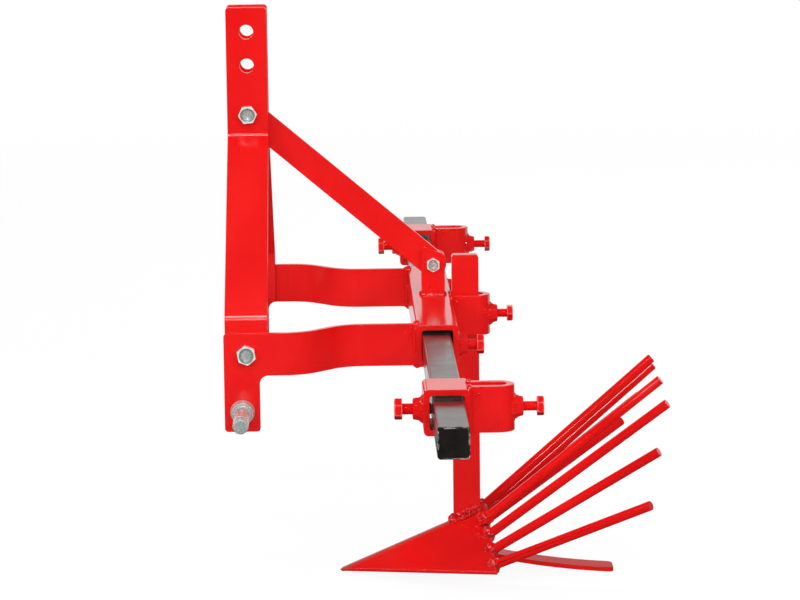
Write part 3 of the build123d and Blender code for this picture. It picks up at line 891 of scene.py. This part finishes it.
sleeveLow, sleeveHigh = boxMm("sleeve")

# side arms to the sleeve's front: both faces, over the top and under the bottom
armWeldSet = {
    "radius": 5.4,
    "capRadius": 4.6,
    "inset": 14.0,        # arm's outer face from the sleeve's end
    "plate": 8.0,
    "overlap": 3.0,
    "sit": 0.4,
    "tuck": 2.0,          # back over the sleeve's edges
    "edge": 1.0,
    "turnHeight": 26.0,   # from the middle, where the bead turns over
    "turnLean": 30.0,
}


def armWelds(side, sign, s):
    outer = sign * (sleeveHigh.x - s["inset"])
    inner = outer - sign * s["plate"]
    front = sleeveLow.y - s["sit"]
    back = front + s["tuck"]
    top = sleeveHigh.z - s["overlap"]
    bottom = sleeveLow.z + s["overlap"]
    rimTop = sleeveHigh.z - s["edge"]
    rimBottom = sleeveLow.z + s["edge"]
    path = [
        (outer, front, bottom), (outer, front, top), (outer, back, rimTop), (inner, back, rimTop),
        (inner, front, top), (inner, front, bottom), (inner, back, rimBottom), (outer, back, rimBottom),
    ]
    middle = Vector(((outer + inner) / 2, front, (sleeveHigh.z + sleeveLow.z) / 2))

    def outward(spot):
        away = spot - middle
        aside = math.copysign(1, away.x) if abs(away.x) > s["plate"] / 4 else 0
        rise = away.z / s["turnLean"] if abs(away.z) > s["turnHeight"] else 0
        return Vector((aside, -1, rise))

    weldBead(side + "_arm_weld", "headstock", path, s["radius"], outward, dressedBead, closed=True)
    for word, level, rise in (("top", rimTop - s["edge"], 1), ("bottom", rimBottom + s["edge"], -1)):
        cap = [(x, front - s["tuck"], level) for x in (outer, inner)]
        weldBead(f"{side}_arm_{word}_weld", "headstock", cap, s["capRadius"], (0, -1, rise), beadSet)


headSpatterSet = {
    "armDrops": 12,
    "armReach": (6, 20),
    "armDepth": (2, 26),
    "lugDrops": 10,
    "lugMargin": 4,
    "besideLug": (5, 14),
    "upLug": (5, 16),
}


def headSpatter(side, sign, s):
    rng = random.Random(side + " arm")
    outer = sign * (sleeveHigh.x - armWeldSet["inset"])
    drops = []
    for drop in range(s["armDrops"]):
        y = sleeveLow.y - rng.uniform(*s["armReach"])
        drops.append(((outer, y, sleeveHigh.z - rng.uniform(*s["armDepth"])), (sign, 0, 0)))
    low, high = boxMm("brace_lugs")
    margin = s["lugMargin"]
    for drop in range(s["lugDrops"]):
        x = sign * (high.x + rng.uniform(*s["besideLug"]))
        drops.append(((x, rng.uniform(low.y - margin, high.y + margin), sleeveHigh.z), (0, 0, 1)))
        y = rng.uniform(low.y + margin, high.y - margin)
        drops.append(((sign * high.x, y, sleeveHigh.z + rng.uniform(*s["upLug"])), (sign, 0, 0)))
    spatter(side + "_arm_spatter", "headstock", drops, spatterSet)


for side, sign in sideSigns:
    armWelds(side, sign, armWeldSet)
    headSpatter(side, sign, headSpatterSet)

# brace lugs on the sleeve's top, along the outer face and round both ends
lugWeldSet = {"radius": 3.4, "plate": 7.0, "lift": 8.0}


def lugWelds(side, sign, s):
    low, high = boxMm("brace_lugs")
    outer = sign * high.x
    inner = sign * (high.x - s["plate"])
    top = sleeveHigh.z
    path = [(inner, low.y, top), (outer, low.y, top), (outer, high.y, top), (inner, high.y, top)]
    middle = Vector((inner, (low.y + high.y) / 2, top))

    def outward(spot):
        away = spot - middle
        away.z = s["lift"]
        return away

    weldBead(side + "_lug_weld", "headstock", path, s["radius"], outward, coarseBead)


for side, sign in sideSigns:
    lugWelds(side, sign, lugWeldSet)

# loops on the rear of the sleeve and collars
loopWeldSet = {
    "radius": 3.8,
    "leg": 10.0,
    "turn": ((1.5, 0.8), (1.2, 1.2), (0.0, 5.0)),   # forward and down, from the leg to the side face
    "turnHeight": 26.0,
    "turnLean": 14.0,
    "sideReach": 3.0,
    "legAside": 0.1,
    "drops": 9,
    "dropReach": (5, 16),
    "dropDepth": (1, 18),
    "dropEdge": 1,
}


def loopWelds(loop, body, s):
    low, high = boxMm(loop)
    middleZ = (low.z + high.z) / 2
    for word, sign, x in (("outer", 1, high.x), ("inner", -1, low.x)):
        across = (x - sign * s["leg"], x, x)
        turn = [(x, low.y - forward, down) for x, (forward, down) in zip(across, s["turn"])]
        path = [(x, y, high.z - down) for x, y, down in turn]
        path += [(x, y, low.z + down) for x, y, down in reversed(turn)]

        def outward(spot):
            fromMiddle = spot.z - middleZ
            rise = fromMiddle / s["turnLean"] if abs(fromMiddle) > s["turnHeight"] else 0
            return Vector((sign * (1 if abs(spot.x - x) < s["sideReach"] else s["legAside"]), 1, rise))

        weldBead(f"{loop}_{word}_weld", body, path, s["radius"], outward, dressedBead)
        rng = random.Random(loop + word)
        drops = []
        for drop in range(s["drops"]):
            y = low.y + rng.uniform(*s["dropReach"])
            z = high.z - rng.uniform(*s["dropDepth"]) * rng.random() - s["dropEdge"]
            drops.append(((x, y, z), (sign, 0, 0)))
        spatter(f"{loop}_{word}_spatter", body, drops, spatterSet)


for loop in ("centre_loop", "left_loop", "right_loop"):
    loopWelds(loop, bodyOf[loop], loopWeldSet)

# nuts ringed with weld up to their chamfers
nutWeldSet = {
    "sides": 110,
    "shares": (0.0, 0.1, 0.22, 0.35, 0.48, 0.6, 0.72, 0.84, 0.93, 1.0),   # from the foot to the nut
    "ripples": 19,
    "lean": 0.55,
    "groove": 1.0,
    "foot": 18.6,
    "footWobble": 1.4,
    "height": 0.86,
    "heightWobble": 0.10,
    "hollow": 1.0,
    "lumps": 1.5,
    "lumpScale": 0.34,
    "fadeShift": 0.1,
    "lap": 0.2,
    "inside": 2.0,
    "sink": 1.5,
    "footTuck": 0.5,
}
nutSet = (
    # nut, way it points, flats, radius of the bend it sits on (0 for a flat face)
    ("centre_loop_nut", 1, 22.0, 22.0),
    ("left_loop_nut", 1, 22.0, 22.0),
    ("right_loop_nut", 1, 22.0, 22.0),
    ("left_collar_nut", -1, 24.0, 0.0),
    ("right_collar_nut", -1, 24.0, 0.0),
)
sleeveNutFlats = 24.0


def nutWeld(name, body, centre, way, height, flats, bend, s):
    rng = random.Random(name)
    seed = rng.uniform(0, 100)
    place = axisFrame(Vector(centre) * mm, (0, way, 0), (0, 0, 1))
    bm = bmesh.new()
    loops = []
    for step in range(s["sides"]):
        angle = 2 * math.pi * step / s["sides"]
        hexReach = flats / 2 / math.cos(angle % (math.pi / 3) - math.pi / 6)
        wobble = noise.noise(Vector((math.cos(angle) * 2, math.sin(angle) * 2, seed)))
        foot = s["foot"] + s["footWobble"] * wobble
        across = foot * math.sin(angle)
        drop = bend - math.sqrt(max(bend**2 - across**2, 0)) if bend else 0.0
        top = height * s["height"] * (1 + s["heightWobble"] * wobble)
        profile = []
        for share in s["shares"]:
            reach = foot + (hexReach + s["lap"] - foot) * share
            level = -drop * (1 - share) + top * share
            fade = math.sin(math.pi * min(1, share + s["fadeShift"]))
            phase = angle / (2 * math.pi) * s["ripples"] + s["lean"] * share**2
            groove = s["groove"] * (1 - math.sqrt(abs(math.sin(math.pi * phase)))) * fade
            spot = Vector((reach * math.cos(angle), reach * math.sin(angle), level + seed))
            rough = noise.noise(spot * s["lumpScale"])
            shift = s["lumps"] * rough * fade - groove - s["hollow"] * math.sin(math.pi * share)
            profile.append((reach + shift, level + shift))
        inside = flats / 2 - s["inside"]
        under = -drop - s["sink"]
        profile += [(inside, top), (inside, under), (foot - s["footTuck"], under)]
        loops.append([bm.verts.new(turnedSpot(place, angle, *spot)) for spot in profile])
    bridgeLoops(bm, loops, closed=True)
    newPiece(name, bm, body, "red_paint")


for nut, way, flats, bend in nutSet:
    low, high = boxMm(nut)
    seat = low.y if way > 0 else high.y
    centre = ((low.x + high.x) / 2, seat, (low.z + high.z) / 2)
    nutWeld(nut + "_weld", bodyOf[nut], centre, way, high.y - low.y, flats, bend, nutWeldSet)
low, high = boxMm("sleeve_nuts")
for side, x in (("left", high.x - sleeveNutFlats / 2), ("right", low.x + sleeveNutFlats / 2)):
    centre = (x, low.y, (low.z + high.z) / 2)
    height = high.y - low.y
    nutWeld(side + "_sleeve_nut_weld", "headstock", centre, 1, height, sleeveNutFlats, 0.0, nutWeldSet)


# share: its upper faces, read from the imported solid
def wingPlane(sign):
    def upperArea(face):
        return face.area * (face.normal.z > 0.5) * (face.center.x * sign > 0)

    best = max(nodes["share"].data.polygons, key=upperArea)
    return best.center / mm, best.normal.copy()


wingSpot = {}
wingUp = {}
for side, sign in sideSigns:
    wingSpot[side], wingUp[side] = wingPlane(sign)


def onWing(side, x, y):
    spot, up = wingSpot[side], wingUp[side]
    return Vector((x, y, spot.z - (up.x * (x - spot.x) + up.y * (y - spot.y)) / up.z))


shankWeldSet = {
    "radius": 7.2,
    "dip": 1.5,
    "aside": 2,
    "lift": 14,
    "secondRadius": 5.2,
    "secondRise": 8.0,
    "secondInset": 3,
}


def shankWelds(s):
    low, high = boxMm("shank")
    path = []
    for side, x in (("left", high.x), ("right", low.x)):
        ends = (low.y, high.y) if side == "left" else (high.y, low.y)
        path += [onWing(side, x, ends[0]), onWing(side, x, ends[1])]
        path.append(onWing(side, 0, ends[1]) - Vector((0, 0, s["dip"])))
    middleY = (low.y + high.y) / 2

    def outward(spot):
        return Vector((spot.x * s["aside"], spot.y - middleY, s["lift"]))

    weldBead("shank_weld", "digger", path, s["radius"], outward, heavyBead, closed=True)
    # a second pass, up each side of the shank
    rise = Vector((0, 0, s["secondRise"]))
    for side, x in (("left", high.x), ("right", low.x)):
        places = (low.y + s["secondInset"], middleY, high.y - s["secondInset"])
        path = [onWing(side, x, y) + rise for y in places]
        weldBead(side + "_shank_second_weld", "digger", path, s["secondRadius"], outward, heavyBead)


shankSpatterSet = {
    "wingDrops": 16,
    "beside": (8, 26),
    "ahead": 18,
    "behind": 4,
    "sideDrops": 8,
    "rise": (8, 22),
    "inset": 2,
}


def shankSpatter(s):
    rng = random.Random("shank foot")
    low, high = boxMm("shank")
    drops = []
    for side, sign in sideSigns:
        for drop in range(s["wingDrops"]):
            x = sign * (high.x + rng.uniform(*s["beside"]))
            y = rng.uniform(low.y - s["ahead"], high.y + s["behind"])
            drops.append((onWing(side, x, y), wingUp[side]))
        for drop in range(s["sideDrops"]):
            x = sign * high.x
            z = onWing(side, x, low.y).z + rng.uniform(*s["rise"])
            drops.append(((x, rng.uniform(low.y + s["inset"], high.y - s["inset"]), z), (sign, 0, 0)))
    spatter("shank_spatter", "digger", drops, spatterSet)


shankWelds(shankWeldSet)
shankSpatter(shankSpatterSet)

# lifting rods: a collar of weld where each meets the wing's rear edge
rodWeldSet = {
    "rodRadius": 7.0,
    "radius": 4.4,
    "spread": 0.2,
    "steps": 16,
    "forward": 2.4,
    "flatGap": 0.05,
    "ridgeReach": 15,
    "tipSlice": 0.3,
    "mound": (10.0, 8.5, 6.5),
    "mounds": ((-0.55, 0.8), (0.5, 0.9), (0.0, 1.0)),   # place along the edge, size
    "moundBack": 0.45,
    "moundApart": 0.8,
    "moundLevel": 4,
    # size of the dark lump painted as shadow under each rod
    "shadowLump": (4.0, 3.0, 1.4),
    "shadowLumpLevel": 3,
    "rough": 0.7,
    "wingDrops": 7,
    "dropBack": (8, 26),
    "dropAside": (-14, 14),
    "rodDrops": 3,
    "dropAlong": (14, 70),
}


def rearEdge(side, sign, s):
    # a spot on the upper rear edge of a wing, and the way the edge runs
    flat = []
    for v in nodes["share"].data.vertices:
        spot = v.co / mm
        if spot.x * sign > 0 and abs((spot - wingSpot[side]).dot(wingUp[side])) < s["flatGap"]:
            flat.append(spot)
    corner = max(flat, key=lambda p: p.x * sign)
    inner = max((p for p in flat if abs(p.x) < s["ridgeReach"]), key=lambda p: p.y)
    return inner, (corner - inner).normalized()


def rodRun(node, s):
    # middle of the rod's tip, and the way the rod runs
    points = np.array([v.co for v in nodes[node].data.vertices]) / mm
    run = Vector(np.linalg.svd(points - points.mean(0))[2][0])
    run = run if run.y > 0 else -run
    reach = points @ np.array(run)
    return Vector(points[reach > reach.max() - s["tipSlice"]].mean(0)), run


def rodWelds(side, sign, number, s):
    rod = f"{side}_rod_{number}"
    tip, run = rodRun(rod, s)
    up = wingUp[side]
    start, along = rearEdge(side, sign, s)
    rear = along.cross(up) if along.cross(up).y > 0 else up.cross(along)
    foot = tip - run * ((tip - start).dot(rear) / run.dot(rear))
    path = []
    for step in range(s["steps"]):
        angle = 2 * math.pi * step / s["steps"]
        out = (along * math.cos(angle) + up * math.sin(angle)) * (s["rodRadius"] + s["spread"])
        path.append(foot - rear * s["forward"] + out)
    weldBead(rod + "_weld", "digger", path, s["radius"], lambda spot: spot - foot, coarseBead, closed=True)
    rng = random.Random(f"{side} rod {number}")
    bm = bmesh.new()
    wide, deep, tall = s["mound"]
    for shift, size in s["mounds"]:
        centre = foot - rear * deep * s["moundBack"] + along * shift * wide * s["moundApart"]
        sizes = (wide * size, deep * size, tall * size)
        addBlob(bm, centre, up, along, sizes, s["rough"], rng.uniform(0, 100), s["moundLevel"], blobSet)
    newPiece(rod + "_mound", bm, "digger", "red_paint")
    # a dark lump painted as shadow in the corner under the rod
    bm = bmesh.new()
    shadowLumpSpot = foot + along * (s["rodRadius"] + s["shadowLump"][0]) - rear * s["shadowLump"][1]
    shadowLumpSpot = onWing(side, shadowLumpSpot.x, shadowLumpSpot.y)
    addBlob(bm, shadowLumpSpot, up, along, s["shadowLump"], s["rough"], rng.uniform(0, 100), s["shadowLumpLevel"], blobSet)
    newPiece(rod + "_shadow_lump", bm, "digger", "black_paint")
    drops = []
    for drop in range(s["wingDrops"]):
        spot = foot - rear * rng.uniform(*s["dropBack"]) + along * rng.uniform(*s["dropAside"])
        drops.append((onWing(side, spot.x, spot.y), up))
    for drop in range(s["rodDrops"]):
        angle = rng.uniform(0, 2 * math.pi)
        out = (along - run * along.dot(run)).normalized() * math.cos(angle)
        out += run.cross(along).normalized() * math.sin(angle)
        spot = foot + run * rng.uniform(*s["dropAlong"]) + out.normalized() * s["rodRadius"]
        drops.append((spot, out))
    spatter(rod + "_spatter", "digger", drops, spatterSet)


for side, sign in sideSigns:
    for number in (1, 2, 3, 4):
        rodWelds(side, sign, number, rodWeldSet)

# web: along the heel bar on both faces
webWeldSet = {"radius": 3.6, "halfPlate": 4.0}


def webWelds(side, sign, s):
    lowest = {}
    for v in nodes["share_web"].data.vertices:
        if v.co.x * sign > 0:
            y = round(v.co.y / mm, 1)
            lowest[y] = min(lowest.get(y, math.inf), v.co.z / mm)
    path = [(s["halfPlate"] * sign, y, lowest[y]) for y in sorted(lowest)]
    weldBead(side + "_web_weld", "digger", path, s["radius"], (sign, 0, 1), beadSet)


for side, sign in sideSigns:
    webWelds(side, sign, webWeldSet)
print("welds laid")
